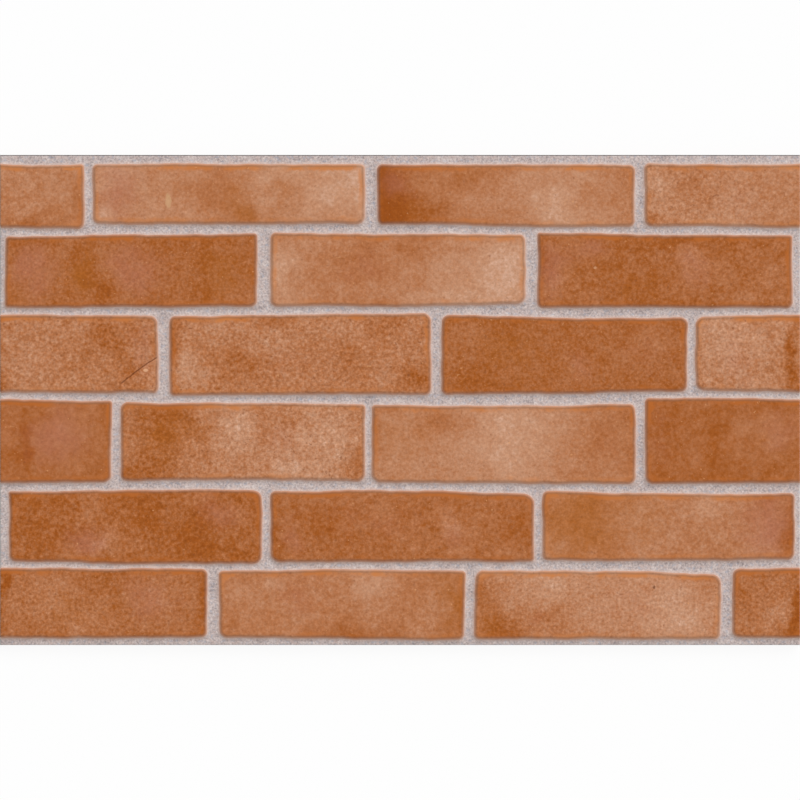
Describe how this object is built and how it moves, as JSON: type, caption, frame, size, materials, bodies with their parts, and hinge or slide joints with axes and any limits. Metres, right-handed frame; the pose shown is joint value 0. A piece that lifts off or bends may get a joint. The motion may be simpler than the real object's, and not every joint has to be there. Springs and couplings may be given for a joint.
{
  "type": "glazed brick slip tile",
  "caption": "Flat rectangular ceramic wall tile whose glazed face is moulded as staggered courses of brick slips with recessed mortar joints; bonded to a wall by its grooved back.",
  "frame": {"origin": "middle of the tile's back, on the plane of the lands between the key grooves", "axes": "+X along the courses, +Y up the wall across the courses, +Z out of the glazed face"},
  "size_m": [0.4996, 0.306, 0.01],
  "materials": {
    "glazed_clay": "matte"
  },
  "bodies": {
    "root": {"tile": "glazed_clay"}
  },
  "joints": []
}
